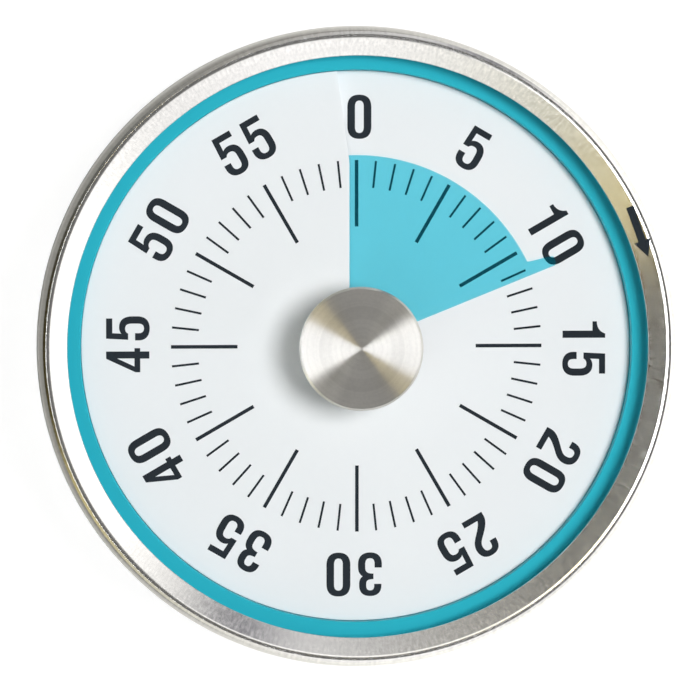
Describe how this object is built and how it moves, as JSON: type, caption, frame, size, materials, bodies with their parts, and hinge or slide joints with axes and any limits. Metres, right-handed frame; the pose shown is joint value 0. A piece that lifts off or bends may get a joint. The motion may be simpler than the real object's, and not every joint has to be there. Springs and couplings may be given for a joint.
{
  "type": "visual countdown timer",
  "caption": "Round steel kitchen timer whose coloured disc shows the minutes left on a white 60-minute dial; turn the knob to set it, magnet back.",
  "frame": {"origin": "centre of the flat back face", "axes": "+Z out through the dial, +Y towards the 0 mark, +X towards the 15 mark"},
  "size_m": [0.078, 0.078, 0.029],
  "materials": {
    "steel_shell": "stainless sheet, brushed outward from the middle on the bezel",
    "dial_white": "smooth white moulding with printed scale",
    "tray_teal": "glossy turquoise moulding",
    "disc_teal": "thin translucent turquoise film",
    "knob_metal": "face turned in fine circles",
    "black_plastic": "fine moulded grain",
    "ferrite": "ground dark ferrite",
    "zinc_steel": "zinc plated",
    "brass_plates": "stamped brass",
    "brass_parts": "cut brass",
    "spring_steel": "blued spring steel",
    "pinion_steel": "polished pinion steel",
    "nickel_bell": "nickel plated"
  },
  "bodies": {
    "case": {"case_shell": "steel_shell", "dial_plate": "dial_white", "dial_tray": "tray_teal", "rear_cover": "black_plastic", "magnet_ring": "ferrite", "magnet_keeper": "zinc_steel", "cover_screws": "zinc_steel", "movement_screws": "zinc_steel", "front_plate": "brass_plates", "back_plate": "brass_plates", "pillars": "zinc_steel", "mainspring": "spring_steel", "spring_anchor": "zinc_steel", "arbor_bushing": "brass_parts", "bell": "nickel_bell", "bell_post": "zinc_steel", "bell_screw": "zinc_steel"},
    "setting": {"knob": "knob_metal", "knob_insert": "brass_parts", "main_arbor": "zinc_steel", "great_wheel": "brass_parts", "ratchet_wheel": "spring_steel", "click": "spring_steel", "click_stud": "zinc_steel", "click_spring": "spring_steel", "signal_cam": "brass_parts"},
    "disc": {"time_disc": "disc_teal"},
    "second": {"second_arbor": "pinion_steel", "second_wheel": "brass_parts"},
    "third": {"third_arbor": "pinion_steel", "third_wheel": "brass_parts"},
    "escape": {"escape_arbor": "pinion_steel", "escape_wheel": "brass_parts"},
    "balance": {"pallet_anchor": "spring_steel", "pallet_pins": "pinion_steel", "pallet_arbor": "pinion_steel", "balance_weight": "brass_parts"},
    "hammer": {"hammer_arm": "zinc_steel", "hammer_head": "brass_parts", "hammer_lever": "zinc_steel", "hammer_arbor": "pinion_steel"}
  },
  "joints": [
    {"name": "knob_spin", "type": "hinge", "parent": "case", "child": "setting", "pos_m": [0, 0, 0.026], "axis": [0, 0, -1], "range_deg": [-68, 292]},
    {"name": "disc_rise", "type": "slide", "parent": "setting", "child": "disc", "axis": [0, 0, 1], "range_m": [-0.00019, 0.00081]},
    {"name": "second_spin", "type": "hinge", "parent": "case", "child": "second", "pos_m": [-0.01151, -0.00419, 0.015], "axis": [0, 0, -1], "range_deg": [-1752, 408]},
    {"name": "third_spin", "type": "hinge", "parent": "case", "child": "third", "pos_m": [-0.01328, 0.00586, 0.015], "axis": [0, 0, -1], "range_deg": [-3060, 13140]},
    {"name": "escape_spin", "type": "hinge", "parent": "case", "child": "escape", "pos_m": [-0.00692, 0.01222, 0.015], "axis": [0, 0, -1], "range_deg": [-105120, 24480]},
    {"name": "pallet_rock", "type": "hinge", "parent": "case", "child": "balance", "pos_m": [-0.00086, 0.01329, 0.015], "axis": [0, 0, 1], "range_deg": [-8, 8]},
    {"name": "hammer_lift", "type": "hinge", "parent": "case", "child": "hammer", "pos_m": [0.0121, -0.007, 0.015], "axis": [0, 0, 1], "range_deg": [0, 10]}
  ],
  "couplings": [
    {"joint": "disc_rise", "follows": "knob_spin", "m_per_rad": 0.00015915},
    {"joint": "second_spin", "follows": "knob_spin", "ratio": -6},
    {"joint": "third_spin", "follows": "knob_spin", "ratio": 45},
    {"joint": "escape_spin", "follows": "knob_spin", "ratio": -360}
  ]
}
